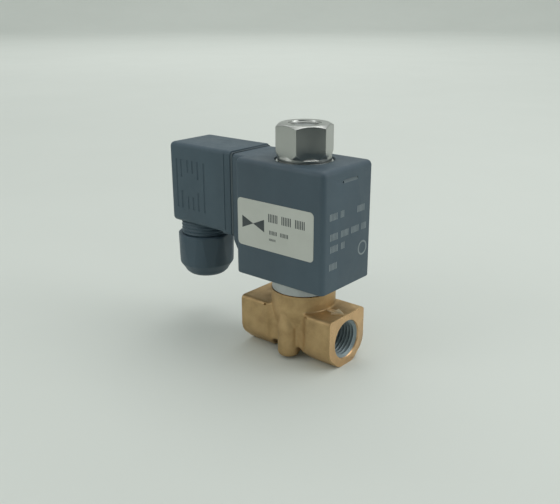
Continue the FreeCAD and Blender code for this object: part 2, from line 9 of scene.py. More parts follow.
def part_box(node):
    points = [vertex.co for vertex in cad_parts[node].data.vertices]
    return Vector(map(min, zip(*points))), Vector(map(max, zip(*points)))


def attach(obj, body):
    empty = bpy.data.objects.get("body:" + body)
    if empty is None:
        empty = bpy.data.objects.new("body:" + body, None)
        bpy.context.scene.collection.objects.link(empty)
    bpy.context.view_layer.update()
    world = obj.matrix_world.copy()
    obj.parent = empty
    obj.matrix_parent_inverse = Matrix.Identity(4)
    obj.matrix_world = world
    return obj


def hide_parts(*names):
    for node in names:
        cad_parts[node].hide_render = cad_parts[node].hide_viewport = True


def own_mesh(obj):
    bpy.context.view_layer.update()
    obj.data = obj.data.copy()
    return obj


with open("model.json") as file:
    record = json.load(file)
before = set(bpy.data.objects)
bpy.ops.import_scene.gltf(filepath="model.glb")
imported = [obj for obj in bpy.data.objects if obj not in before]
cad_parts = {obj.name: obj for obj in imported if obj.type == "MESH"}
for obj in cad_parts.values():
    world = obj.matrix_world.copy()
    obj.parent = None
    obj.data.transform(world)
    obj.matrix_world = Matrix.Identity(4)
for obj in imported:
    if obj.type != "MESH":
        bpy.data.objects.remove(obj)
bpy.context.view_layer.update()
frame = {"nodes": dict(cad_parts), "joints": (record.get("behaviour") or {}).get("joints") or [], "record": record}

MM = 0.001
FULL_TURN = 2 * math.pi


def node_box(node):
    """Lowest and highest corner of a CAD node, in millimetres."""
    low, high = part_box(node)
    return low / MM, high / MM


def joint_point(name):
    """Where a joint's axis passes, in millimetres."""
    for joint in frame["joints"]:
        if joint["name"] == name:
            return Vector(joint["pos_m"]) / MM


def mount_point(name):
    for mount in frame["record"]["mounts"]:
        if mount["name"] == name:
            return Vector(mount["pos_m"]) / MM


# ---- camera, floor and light ---------------------------------------------
def make_camera():
    data = bpy.data.cameras.new("camera")
    camera = bpy.data.objects.new("camera", data)
    bpy.context.scene.collection.objects.link(camera)
    forward = Vector((-0.61087, 0.72172, -0.32551)).normalized()
    right = Vector((0.76383, 0.64541, -0.00246))
    up = right.cross(forward).normalized()
    right = forward.cross(up)
    place = Vector((0.15010, -0.19030, 0.12067))
    camera.matrix_world = Matrix.Translation(place) @ Matrix((right, up, -forward)).transposed().to_4x4()
    data.sensor_fit = "HORIZONTAL"
    data.sensor_width = 36.0
    data.lens = 46.9
    data.clip_start = 0.005
    bpy.context.scene.camera = camera


def link(mesh, name):
    piece = bpy.data.objects.new(name, mesh)
    bpy.context.scene.collection.objects.link(piece)
    return piece


def make_stage():
    """Round seamless floor that sweeps up into a wall, in metres."""
    flat, wall_r, wall_top = 3.0, 4.2, 1.6
    sweep = wall_r - flat
    profile = [(0, 0), (flat * 0.5, 0)]
    for k in range(13):
        angle = math.pi / 2 * k / 12
        profile.append((flat + sweep * math.sin(angle), sweep * (1 - math.cos(angle))))
    profile.append((wall_r, wall_top))
    bm = turned(profile, steps=64)
    bmesh.ops.reverse_faces(bm, faces=bm.faces)
    mesh = bpy.data.meshes.new("floor")
    bm.to_mesh(mesh)
    bm.free()
    mesh.shade_smooth()
    floor = link(mesh, "floor")
    paper = surface("studio_paper", (0.66, 0.69, 0.65), (0.68, 0.71, 0.67), 0.9, mottle=3, grain=300)
    mesh.materials.append(paper)


def make_dark_card():
    """Studio card beside the camera that shows only in reflections."""
    azimuth_deg, away, height, width, tall = -27, 0.26, 0.17, 0.30, 0.36
    upright = Matrix.Rotation(math.radians(azimuth_deg), 4, "Z") @ Matrix.Rotation(math.pi / 2, 4, "Y")
    place = upright @ Matrix.Translation((-height, 0, away)) @ Matrix.Diagonal((tall, width, 1, 1))
    bm = bmesh.new()
    bmesh.ops.create_grid(bm, x_segments=1, y_segments=1, size=0.5, matrix=place)
    mesh = bpy.data.meshes.new("dark_card")
    bm.to_mesh(mesh)
    bm.free()
    card = link(mesh, "dark_card")
    mesh.materials.append(surface("card_felt", (0.040, 0.060, 0.070), (0.030, 0.050, 0.060), 0.95))
    card.visible_camera = False
    card.visible_diffuse = False
    card.visible_shadow = False
    card.visible_transmission = False


def make_light():
    world = bpy.data.worlds.new("studio")
    bpy.context.scene.world = world
    world.use_nodes = True
    background = world.node_tree.nodes["Background"]
    background.inputs["Color"].default_value = (0.92, 0.97, 0.95, 1)
    background.inputs["Strength"].default_value = 0.60
    centre = (0, 0, 0.04)
    lamps = [("overhead", (0.05, 0.25, 0.95), centre, 0.8, 2.3),
             ("window", (0.60, 0.30, 0.36), centre, 0.4, 1.1),
             ("front_fill", (-0.30, -0.50, 0.36), centre, 0.3, 0.45),
             ("backdrop", (-1.0, 1.1, 1.6), (-1.6, 2.1, 0), 1.6, 15.0)]
    for name, place, target, size, power in lamps:
        data = bpy.data.lights.new(name, "AREA")
        data.energy = power
        data.size = size
        lamp = bpy.data.objects.new(name, data)
        bpy.context.scene.collection.objects.link(lamp)
        lamp.location = place
        lamp.rotation_euler = (Vector(target) - Vector(place)).to_track_quat("-Z", "Y").to_euler()
    bpy.context.scene.view_settings.view_transform = "Standard"


# ---- materials -------------------------------------------------------------
class Nodes:
    """Short hand for building one material's node tree."""

    def __init__(self, name):
        self.material = bpy.data.materials.new(name)
        self.material.use_nodes = True
        self.tree = self.material.node_tree
        self.shader = self.tree.nodes["Principled BSDF"]
        self.place = self.tree.nodes.new("ShaderNodeTexCoord").outputs["Object"]

    def add(self, kind, settings=None, **links):
        node = self.tree.nodes.new(kind)
        for key, value in (settings or {}).items():
            if key in node.inputs:
                node.inputs[key].default_value = value
            else:
                setattr(node, key, value)
        for key, source in links.items():
            self.tree.links.new(source, node.inputs[key.replace("_", " ")])
        return node

    def mapped(self, scale=(1, 1, 1), shift=(0, 0, 0), turn=(0, 0, 0)):
        node = self.add("ShaderNodeMapping", {"Scale": scale, "Location": shift, "Rotation": turn},
                        Vector=self.place)
        return node.outputs["Vector"]

    def noise(self, scale, detail=4.0, rough=0.55, place=None):
        node = self.add("ShaderNodeTexNoise", {"Scale": scale, "Detail": detail, "Roughness": rough},
                        Vector=place or self.place)
        return node.outputs["Fac"]

    def ramp(self, source, stops):
        node = self.add("ShaderNodeValToRGB", Fac=source)
        elements = node.color_ramp.elements
        while len(elements) < len(stops):
            elements.new(0.5)
        for element, (position, colour) in zip(elements, stops):
            element.position = position
            element.color = (*colour, 1)
        return node.outputs["Color"]

    def spread(self, source, low, high, start=0.3, stop=0.7):
        limits = {"From Min": start, "From Max": stop, "To Min": low, "To Max": high}
        node = self.add("ShaderNodeMapRange", limits, Value=source)
        return node.outputs["Result"]

    def bump(self, source, depth, below=None, strength=1.0):
        node = self.add("ShaderNodeBump", {"Distance": depth, "Strength": strength}, Height=source)
        if below:
            self.tree.links.new(below, node.inputs["Normal"])
        return node.outputs["Normal"]

    def finish(self, colour, roughness, normal, metallic=0.0, **settings):
        self.tree.links.new(colour, self.shader.inputs["Base Color"])
        self.tree.links.new(roughness, self.shader.inputs["Roughness"])
        self.tree.links.new(normal, self.shader.inputs["Normal"])
        self.shader.inputs["Metallic"].default_value = metallic
        for key, value in settings.items():
            self.shader.inputs[key.replace("_", " ")].default_value = value
        return self.material


def surface(name, light, dark, roughness, metallic=0.0, mottle=70, grain=1800, depth=0.00002,
            spread=0.08, stretch=(1, 1, 1), **settings):
    """Mottled colour, uneven gloss and a fine grain; stretch draws the grain out into brushing."""
    n = Nodes(name)
    cloud = n.noise(mottle, 5.0)
    fine = n.noise(grain, 3.0, 0.6, n.mapped(stretch))
    colour = n.ramp(cloud, [(0.32, dark), (0.68, light)])
    gloss = n.spread(n.noise(mottle * 4, 4.0), roughness - spread, roughness + spread)
    normal = n.bump(fine, depth, n.bump(cloud, depth * 4, strength=0.4))
    return n.finish(colour, gloss, normal, metallic, **settings)


def moulded_plastic(name, tone, roughness, grain=2600):
    """Satin moulding: fine spark texture, faint flow marks and rubbed spots."""
    n = Nodes(name)
    lighter = [c * 1.16 for c in tone]
    darker = [c * 0.88 for c in tone]
    flow = n.noise(45, 4.0, 0.5, n.mapped((1, 1, 0.35)))
    spark = n.noise(grain, 2.0, 0.5)
    rub = n.noise(190, 6.0, 0.7)
    colour = n.ramp(flow, [(0.3, darker), (0.7, lighter)])
    gloss = n.spread(rub, roughness - 0.07, roughness + 0.09)
    normal = n.bump(spark, 0.00003, n.bump(flow, 0.00012, strength=0.3), 0.55)
    return n.finish(colour, gloss, normal, Specular_IOR_Level=0.5)


def forged_brass(name):
    """Tumbled forging: pebbled skin, darker stains and brighter rubbed patches."""
    n = Nodes(name)
    stain = n.noise(110, 6.0, 0.62)
    pebble = n.noise(900, 3.0, 0.55)
    skin = n.noise(3200, 2.0, 0.5)
    stained, plain, rubbed = (0.38, 0.258, 0.126), (0.53, 0.370, 0.188), (0.64, 0.450, 0.238)
    colour = n.ramp(stain, [(0.28, stained), (0.5, plain), (0.74, rubbed)])
    gloss = n.spread(n.noise(320, 5.0), 0.46, 0.66)
    normal = n.bump(skin, 0.00003, n.bump(pebble, 0.00009, strength=0.8), 0.7)
    return n.finish(colour, gloss, normal, 0.85)


def machined_rings(name, tone, axis_place, axis, pitch_mm=0.16, roughness=0.28, metallic=1.0):
    """Faced or turned metal: fine rings about an axis, given through its place in millimetres."""
    n = Nodes(name)
    centred = n.mapped(shift=[-c * MM for c in axis_place])
    rings = n.add("ShaderNodeTexWave", {"wave_type": "RINGS", "rings_direction": axis, "Distortion": 0.6,
                                        "Scale": 1 / (pitch_mm * MM) / 20 * FULL_TURN / 2, "Detail": 2.0,
                                        "Detail Scale": 1.5}, Vector=centred).outputs["Fac"]
    cloud = n.noise(160, 5.0, 0.6)
    colour = n.ramp(cloud, [(0.3, [c * 0.86 for c in tone]), (0.7, [min(c * 1.1, 1) for c in tone])])
    gloss = n.spread(n.noise(420, 4.0), roughness - 0.06, roughness + 0.10)
    normal = n.bump(rings, 0.000012, n.bump(cloud, 0.00004, strength=0.4), 0.8)
    return n.finish(colour, gloss, normal, metallic)


def satin_nickel(name):
    """Drawn bar, plated: soft upright streaks and a silky sheen."""
    n = Nodes(name)
    streak = n.noise(900, 3.0, 0.5, n.mapped((1, 1, 0.06)))
    cloud = n.noise(90, 3.0, 0.5)
    colour = n.ramp(cloud, [(0.3, (0.445, 0.455, 0.435)), (0.7, (0.50, 0.51, 0.485))])
    return n.finish(colour, n.spread(cloud, 0.30, 0.38), n.bump(streak, 0.000006, strength=0.6), 1.0)


def wound_copper(name, wire_mm=0.35):
    n = Nodes(name)
    layers = {"wave_type": "BANDS", "bands_direction": "Z", "Distortion": 0.4,
              "Scale": 1 / (wire_mm * MM) / 20 * FULL_TURN}
    turns = n.add("ShaderNodeTexWave", layers, Vector=n.place).outputs["Fac"]
    # Darker colour in the grooves between wire turns is painted shade; lighter colour on the crowns is a painted
    # highlight.
    colour = n.ramp(turns, [(0.1, (0.30, 0.10, 0.04)), (0.9, (0.70, 0.30, 0.13))])
    gloss = n.spread(n.noise(300), 0.25, 0.4)
    return n.finish(colour, gloss, n.bump(turns, 0.0001), 0.9)


def label_film(name):
    n = Nodes(name)
    cloud = n.noise(60, 4.0)
    fibre = n.noise(1500, 3.0, 0.6, n.mapped((1, 1, 0.2)))
    colour = n.ramp(cloud, [(0.3, (0.50, 0.515, 0.47)), (0.7, (0.56, 0.575, 0.53))])
    return n.finish(colour, n.spread(cloud, 0.42, 0.55), n.bump(fibre, 0.00001))


# ---- shapes ------------------------------------------------------------------
def turned(profile, steps=96, closed=False, axis="Z", centre=(0, 0, 0)):
    """Turned shape from (radius, height) points about Z, then laid along the axis through the centre."""
    bm = bmesh.new()
    verts = [bm.verts.new((r, 0, h)) for r, h in profile]
    edges = [bm.edges.new(pair) for pair in zip(verts, verts[1:])]
    if closed:
        edges.append(bm.edges.new((verts[-1], verts[0])))
    bmesh.ops.spin(bm, geom=verts + edges, cent=(0, 0, 0), axis=(0, 0, 1), angle=FULL_TURN, steps=steps,
                   use_merge=True)
    bmesh.ops.remove_doubles(bm, verts=bm.verts, dist=1e-5)
    bmesh.ops.recalc_face_normals(bm, faces=bm.faces)
    if axis == "X":
        bmesh.ops.rotate(bm, verts=bm.verts, cent=(0, 0, 0), matrix=Matrix.Rotation(math.pi / 2, 3, "Y"))
    bmesh.ops.translate(bm, verts=bm.verts, vec=centre)
    return bm


def rod(radius, start, stop, axis="Z", centre=(0, 0, 0), steps=64):
    return turned([(0, start), (radius, start), (radius, stop), (0, stop)], steps, False, axis, centre)


PLANES = {"X": Matrix(((0, 0, 1), (1, 0, 0), (0, 1, 0))), "Y": Matrix(((1, 0, 0), (0, 0, 1), (0, 1, 0))),
          "Z": Matrix(((1, 0, 0), (0, 1, 0), (0, 0, 1)))}


def prism(corners, axis, start, stop, segments=8):
    """Prism along an axis over a polygon of (u, v, radius) corners, in the other two axes in order."""
    bm = bmesh.new()
    verts = [bm.verts.new((u, v, start)) for u, v, _ in corners]
    bm.faces.new(verts)
    count = len(corners)
    for i, (u, v, radius) in enumerate(corners):
        if radius > 0:
            here = Vector((u, v))
            back = (Vector(corners[i - 1][:2]) - here).normalized()
            ahead = (Vector(corners[(i + 1) % count][:2]) - here).normalized()
            reach = radius / math.tan(back.angle(ahead) / 2)
            bmesh.ops.bevel(bm, geom=[verts[i]], offset=reach, offset_type="OFFSET", segments=segments,
                            profile=0.5, affect="VERTICES", material=-1)
    made = bmesh.ops.extrude_face_region(bm, geom=list(bm.faces))
    lifted = [g for g in made["geom"] if isinstance(g, bmesh.types.BMVert)]
    bmesh.ops.translate(bm, verts=lifted, vec=(0, 0, stop - start))
    bmesh.ops.transform(bm, matrix=PLANES[axis].to_4x4(), verts=bm.verts)
    bmesh.ops.recalc_face_normals(bm, faces=bm.faces)
    return bm


def box(low, high):
    bm = bmesh.new()
    size = Vector(high) - Vector(low)
    middle = (Vector(high) + Vector(low)) / 2
    bmesh.ops.create_cube(bm, size=1.0, matrix=Matrix.Translation(middle) @ Matrix.Diagonal((*size, 1)))
    return bm


def round_off(bm, radius, pick, segments=6):
    """Rounds the edges for which pick(middle, direction) is true."""
    edges = []
    for edge in bm.edges:
        a, b = (v.co for v in edge.verts)
        if pick((a + b) / 2, (b - a).normalized()):
            edges.append(edge)
    bmesh.ops.bevel(bm, geom=edges, offset=radius, offset_type="OFFSET", segments=segments, profile=0.5,
                    affect="EDGES", material=-1, clamp_overlap=True)


def paint(bm, index):
    for face in bm.faces:
        face.material_index = index
    return bm


def as_piece(bm, name):
    mesh = bpy.data.meshes.new(name)
    bm.to_mesh(mesh)
    bm.free()
    return link(mesh, name)


def worked(piece, modifier, **settings):
    """The piece's shape with one modifier applied, as a bmesh; the piece itself is used up."""
    step = piece.modifiers.new("step", modifier)
    for key, value in settings.items():
        setattr(step, key, value)
    result = bmesh.new()
    result.from_object(piece, bpy.context.evaluated_depsgraph_get())
    bpy.data.objects.remove(piece)
    return result


def join(bm, *tools, how="UNION"):
    """Adds the tools to a shape, or cuts them out of it; the tools are used up."""
    for tool in tools:
        base, other = as_piece(bm, "base"), as_piece(tool, "tool")
        for piece in (base, other):
            for _ in range(4):
                piece.data.materials.append(None)
        bm = worked(base, "BOOLEAN", object=other, operation=how, solver="EXACT")
        bpy.data.objects.remove(other)
    return bm


def cut(bm, *tools):
    return join(bm, *tools, how="DIFFERENCE")


def softened(bm, grid, rounds):
    """One skin over overlapping shapes, with its edges and corners softened as on a casting."""
    bm = worked(as_piece(bm, "rough"), "REMESH", mode="VOXEL", voxel_size=grid)
    return worked(as_piece(bm, "rough"), "SMOOTH", factor=0.5, iterations=rounds)


def trim(bm, point, direction):
    """Planes off everything beyond a point and closes the face."""
    cutting = bmesh.ops.bisect_plane(bm, geom=list(bm.verts) + list(bm.edges) + list(bm.faces), dist=1e-5,
                                     plane_co=point, plane_no=direction, clear_outer=True)
    rim = [g for g in cutting["geom_cut"] if isinstance(g, bmesh.types.BMEdge)]
    made = bmesh.ops.triangle_fill(bm, edges=rim, use_beauty=True, use_dissolve=True, normal=direction)
    for face in made["geom"]:
        if isinstance(face, bmesh.types.BMFace):
            face.material_index = 1
    bmesh.ops.recalc_face_normals(bm, faces=bm.faces)
    return bm


def finished(bm, name, body, slot, materials, *nodes, sharp_deg=32):
    """Turns a shape in millimetres into a piece that rides on a body and stands for CAD nodes."""
    bmesh.ops.transform(bm, matrix=Matrix.Scale(MM, 4), verts=bm.verts)
    piece = as_piece(bm, name)
    piece.data.shade_smooth()
    piece.data.set_sharp_from_angle(angle=math.radians(sharp_deg))
    for material in materials:
        piece.data.materials.append(material)
    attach(piece, body)
    if nodes:
        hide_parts(*nodes)
    return piece


# ---- valve body ---------------------------------------------------------------
BLOCK_TOP = 18.8
BOSS_TOP = 24.6
THREAD_PITCH = 1.337
THREAD_DEPTH = 0.86


def thread_cutter(face_x, floor_x, minor_r, mouth_r):
    """Threaded port, from its chamfered mouth in the end face down to its floor."""
    way = 1 if floor_x > face_x else -1
    major_r = minor_r + THREAD_DEPTH
    profile = [(0, face_x - way), (mouth_r, face_x - way), (mouth_r, face_x), (major_r, face_x + way * 0.5)]
    x = face_x + way * 1.3
    while abs(x - face_x) < abs(floor_x - face_x) - THREAD_PITCH * 1.4:
        profile += [(minor_r + 0.12, x), (minor_r, x + way * 0.08), (minor_r, x + way * 0.2),
                    (minor_r + 0.12, x + way * 0.28), (major_r, x + way * 0.78)]
        x += way * THREAD_PITCH
    profile += [(minor_r, x), (minor_r, floor_x), (0, floor_x)]
    return turned(profile, 96, False, "X", (0, 0, mount_point("outlet_port").z))


def valve_rough():
    """Overlapping solids of the forging: waisted bar, boss, lugs and ribs."""
    low, high = node_box("valve_body")
    half, top, over = 10.2, BLOCK_TOP, 0.14
    section = [(-half, top, 1.4), (-half, 5.2, 5.6), (-4.2, -0.2, 4.4), (4.2, -0.2, 4.4), (half, 5.2, 5.6),
               (half, top, 1.4)]
    waist, waist_x, shoulder_x = 8.9, 7.0, 9.0
    blend = 3.0
    front = [(low.x - over, -half, 0), (-shoulder_x, -half, blend), (-waist_x, -waist, blend),
             (waist_x, -waist, blend), (shoulder_x, -half, blend), (high.x + over, -half, 0)]
    plan = front + [(x, -y, radius) for x, y, radius in reversed(front)]
    bar = prism(section, "X", low.x - over, high.x + over)
    bar = join(bar, prism(plan, "Z", -1, top + 1), how="INTERSECT")
    arch_z, splay, inlet_x, outlet_x = 4.9, 2.4, -7.6, 6.4
    arch = [(inlet_x - splay, -1, 0), (inlet_x, arch_z, 2.4), (outlet_x, arch_z, 2.4),
            (outlet_x + splay, -1, 0)]
    pad = rod(2.2, -0.2, arch_z + 1)
    bar = join(cut(bar, prism(arch, "Y", -14, 14)), pad)
    boss_top = high.z + 2
    boss = turned([(0, 8.5), (7.0, 9.0), (10.3, 13.0), (11.0, 16.2), (11.5, 18.6), (11.5, boss_top),
                   (0, boss_top)])
    shapes = [bar, boss]
    lug_y, lug_r, lug_z, lug_top = 8.3, 3.9, 1.0, 17.8
    for side in (-1, 1):
        profile = [(0, lug_z), (lug_r - 1.2, lug_z), (lug_r - 0.35, lug_z + 0.5), (lug_r, lug_z + 1.4),
                   (lug_r, lug_top - 5.5), (lug_r - 1.1, lug_top), (0, lug_top)]
        shapes.append(turned(profile, centre=(0, lug_y * side, 0)))
        start, stop = sorted((0, lug_y * side))
        shapes.append(box((-lug_r + 0.6, start, lug_z + 1), (lug_r - 0.6, stop, lug_top - 3.0)))
    return gathered(shapes)


def gathered(shapes):
    """Several shapes in one bmesh, overlapping as they are; they are used up."""
    whole = bmesh.new()
    for shape in shapes:
        mesh = bpy.data.meshes.new("part")
        shape.to_mesh(mesh)
        shape.free()
        whole.from_mesh(mesh)
        bpy.data.meshes.remove(mesh)
    return whole


def make_valve_body():
    low, high = node_box("valve_body")
    body = softened(valve_rough(), 0.28, 12)
    for point, direction in (((low.x, 0, 0), (-1, 0, 0)), ((high.x, 0, 0), (1, 0, 0)),
                             ((0, 0, BOSS_TOP), (0, 0, 1)), ((0, 0, 0), (0, 0, -1))):
        body = trim(body, point, direction)
    seat_z, seat_floor, seal_floor = 15.5, 13.0, 17.4
    chamber = turned([(0, 9.5), (2.0, 9.5), (2.0, seat_z), (2.9, seat_z), (2.9, seat_floor),
                      (6.2, seat_floor), (6.2, seal_floor), (8.0, seal_floor), (8.0, BOSS_TOP - 0.3), (8.3, BOSS_TOP),
                      (8.3, BOSS_TOP + 1), (0, BOSS_TOP + 1)])
    port_z = mount_point("outlet_port").z
    depth, minor_r, mouth_r = 11.5, 5.95, 7.0
    hollow = join(chamber, thread_cutter(high.x, high.x - depth, minor_r, mouth_r),
                  thread_cutter(low.x, low.x + depth, minor_r, mouth_r),
                  rod(2.2, 0, high.x - depth + 1, "X", (0, 0, port_z), 32),
                  rod(2.2, low.x + depth - 1, -4.0, "X", (0, 0, port_z), 32),
                  rod(1.4, port_z, 14, "Z", (-4.6, 0, 0), 32))
    # Faces deep in the ports and chamber take slot 2, a dark grey painted shade in place of brass; faces near the
    # port mouths take the faced brass.
    mouth = 0.8
    for face in hollow.faces:
        x = face.calc_center_median().x
        face.material_index = 2 if low.x + mouth < x < high.x - mouth else 1
    nick_places = (-9.6, 8.8)
    for x in nick_places:
        for side in (-1, 1):
            body = cut(body, rod(0.6, BLOCK_TOP - 1.1, BLOCK_TOP + 1, "Z", (x, 9.95 * side, 0), 24))
    holes = [rod(1.65, 0, 7.5, "Z", (0, 8.5 * side, 0), 32) for side in (-1, 1)]
    # The screw holes underneath take the same painted shade.
    for hole in holes:
        paint(hole, 2)
    body = cut(body, hollow, *holes)
    end_face = machined_rings("faced_brass", (0.70, 0.46, 0.25), (0, 0, port_z), "X", 0.22, 0.30)
    # Dark grey-blue painted shade for the hollows, standing for the shadow inside the bores.
    inside = machined_rings("bore_painted_shade", (0.28, 0.34, 0.36), (0, 0, port_z), "X", 0.22, 0.5, 0.35)
    finishes = [forged_brass("forged_brass"), end_face, inside]
    return finished(body, "valve_forging", "valve", "body_brass", finishes, "valve_body", sharp_deg=38)


def make_flow_arrow():
    """Raised arrow on the outlet block, pointing the way the flow goes."""
    middle_y, shaft, head = -1.3, 0.8, 2.3
    tail_x, neck_x, tip_x = 12.2, 14.9, 18.6
    half = [(tail_x, shaft), (neck_x, shaft), (neck_x, head), (tip_x, 0)]
    outline = [(x, middle_y - y, 0) for x, y in half] + [(x, middle_y + y, 0) for x, y in reversed(half[:-1])]
    arrow = prism(outline, "Z", BLOCK_TOP - 0.4, BLOCK_TOP + 0.7)
    round_off(arrow, 0.15, lambda middle, way: middle.z > BLOCK_TOP + 0.5, 2)
    # Lighter brass over the whole arrow: a painted highlight for its lit flanks.
    highlight_brass = surface("arrow_painted_highlight", (0.85, 0.70, 0.48), (0.66, 0.51, 0.32), 0.45, 0.8, mottle=300)
    return finished(arrow, "flow_arrow", "valve", "body_brass", [highlight_brass])


def make_stem():
    """Stem with its collar, thread and bore."""
    low, high = node_box("armature_tube")
    collar_z0, collar_z1, collar_r, tube_r, bore = BOSS_TOP + 0.02, 29.1, 11.2, 5.0, 4.6
    profile = [(bore, low.z), (7.6, low.z), (7.9, low.z + 0.3), (7.9, collar_z0), (collar_r - 0.2, collar_z0),
               (collar_r, collar_z0 + 0.2), (collar_r, collar_z1 - 0.4), (collar_r - 0.12, collar_z1 - 0.12),
               (collar_r - 0.4, collar_z1), (tube_r + 0.2, collar_z1), (tube_r, collar_z1 + 0.2),
               (tube_r, 66.8)]
    z, root, crest = 67.0, 4.45, 4.87
    while z < high.z - 1.2:
        profile += [(root, z + 0.35), (crest, z + 0.8), (crest, z + 0.9)]
        z += 1.0
    end = high.z
    profile += [(root, end - 0.35), (root - 0.3, end), (1.2, end), (0.9, end - 0.5), (0, end - 0.55),
                (0, end - 1.0), (bore - 0.02, end - 1.0), (bore, end - 1.05)]
    stem = turned(profile, 96, closed=True)
    steel = machined_rings("turned_steel", (0.44, 0.46, 0.46), (0, 0, 0), "Z", 0.2, 0.40)
    return finished(stem, "stem", "valve", "stem_steel", [steel], "armature_tube")


def make_spring():
    """Plunger's spring, with closed end turns, built at one length; the real spring shortens as the plunger lifts."""
    low, high = node_box("plunger_spring")
    wire_r, coil_r, end_pitch, turns, steps = 0.3, 1.85, 0.65, 7, 24
    open_turns = turns - 2
    open_pitch = (high.z - low.z - 2 * wire_r - 2 * end_pitch) / open_turns
    bm = bmesh.new()
    bmesh.ops.create_circle(bm, cap_ends=True, radius=wire_r, segments=12,
                            matrix=Matrix.Translation((coil_r, 0, low.z + wire_r)) @
                            Matrix.Rotation(math.pi / 2, 4, "X"))
    wire = list(bm.faces)
    for count, pitch in ((1, end_pitch), (open_turns, open_pitch), (1, end_pitch)):
        made = bmesh.ops.spin(bm, geom=wire, cent=(0, 0, 0), axis=(0, 0, 1), dvec=(0, 0, pitch / steps),
                              angle=FULL_TURN * count, steps=steps * count)
        wire = [g for g in made["geom_last"] if isinstance(g, bmesh.types.BMFace)]
    bmesh.ops.recalc_face_normals(bm, faces=bm.faces)
    steel = surface("spring_steel", (0.50, 0.51, 0.52), (0.40, 0.41, 0.42), 0.28, 1.0, mottle=300, grain=3000)
    piece = finished(bm, "return_spring", "valve", "spring_steel", [steel], "plunger_spring", sharp_deg=60)
    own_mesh(piece)


# ---- coil --------------------------------------------------------------------
def make_coil():
    low, high = node_box("coil_housing")
    body_x0, pedestal_half, pocket_r = -19.8, 10.2, 10.2
    top, bottom = high.z, low.z
    shell = box((body_x0, low.y, bottom), (high.x, high.y, top))
    round_off(shell, 1.9, lambda m, way: m.z > bottom + 1)
    round_off(shell, 0.55, lambda m, way: m.z < bottom + 0.01, 4)
    knee_z, slope = 39.4, 1.8
    root_x, inner_x = body_x0 + 1, body_x0 + 3
    side = [(low.x, knee_z, 0.8), (low.x, top, 0), (inner_x, top, 0), (inner_x, knee_z, 0),
            (root_x, knee_z, 0), (root_x, knee_z - slope * (root_x - low.x), 0)]
    pedestal = prism(side, "Y", -pedestal_half, pedestal_half)

    def outer_edge(m, way):
        on_flank = abs(m.y) > pedestal_half - 0.1 and m.z < top - 5
        return abs(way.x) > 0.7 and (m.z > top - 0.1 or on_flank)

    round_off(pedestal, 1.4, outer_edge)
    housing = join(shell, pedestal)
    pocket = turned([(0, top - 2.5), (pocket_r, top - 2.5), (pocket_r, top - 0.25),
                     (pocket_r + 0.08, top - 0.08), (pocket_r + 0.3, top + 0.01), (pocket_r + 0.3, top + 1),
                     (0, top + 1)])
    foot_hole = turned([(0, bottom - 1), (6.6, bottom - 1), (6.6, bottom), (6.0, bottom + 0.5),
                        (6.0, bottom + 3), (0, bottom + 3)])
    cavity = box((-15.6, -10.5, bottom + 2), (15.6, 10.5, top - 2))
    housing = cut(housing, cavity, pocket, foot_hole)
    mid_z = joint_point("connector_screw_turn").z
    for way in (-1, 1):
        z = mid_z + 5.5 * way
        housing = cut(housing, box((low.x - 1, -3.17, z - 0.42), (-20.4, 3.17, z + 0.42)))
    housing = cut(housing, box((low.x - 1, 5.78, mid_z - 2.42), (-20.4, 6.62, mid_z + 2.42)),
                  rod(2.62, low.x - 1, -18.0, "X", (0, 0, mid_z), 40))
    mark = [(high.x + 0.2, 64.9, 0), (high.x - 0.45, 66.5, 0), (high.x + 0.2, 66.6, 0)]
    notch = prism(mark, "Y", -3.4, 4.8)
    dimple = rod(0.45, high.x - 0.6, high.x + 1, "X", (0, -3.3, 65.85), 24)
    housing = cut(housing, paint(notch, 1), dimple)
    plastic = moulded_plastic("coil_plastic", (0.056, 0.088, 0.114), 0.50)
    # Lighter grey plastic for the notch faces (slot 1).
    notch_tone = moulded_plastic("lighter_notch_plastic", (0.125, 0.160, 0.180), 0.6)
    return finished(housing, "coil_shell", "coil", "coil_plastic", [plastic, notch_tone], "coil_housing")


def make_label():
    low, high = node_box("nameplate")
    corners = [(low.x, low.z, 1.5), (high.x, low.z, 1.5), (high.x, high.z, 1.5), (low.x, high.z, 1.5)]
    plate = prism(corners, "Y", low.y + 0.02, high.y)
    return finished(plate, "label", "coil", "label_film", [label_film("label_film")], "nameplate")


def word_strokes(start, stop, low, height, pitch):
    """A row of plain upright strokes in word-long groups, in place of print, as (u0, v0, u1, v1)."""
    stroke, group = pitch * 0.52, 8
    strokes = []
    for k in range(int((stop - start) / pitch)):
        if k % group < group - 2:
            u = start + pitch * k
            strokes.append((u, low, u + stroke, low + height))
    return strokes


def printed(name, rectangles, axis, surface_at, thickness, body, material, slot):
    """Thin printed marks on a flat face."""
    marks = []
    for u0, v0, u1, v1 in rectangles:
        corners = [(u0, v0, 0), (u1, v0, 0), (u1, v1, 0), (u0, v1, 0)]
        marks.append(prism(corners, axis, surface_at, surface_at + thickness))
    return finished(gathered(marks), name, body, slot, [material])


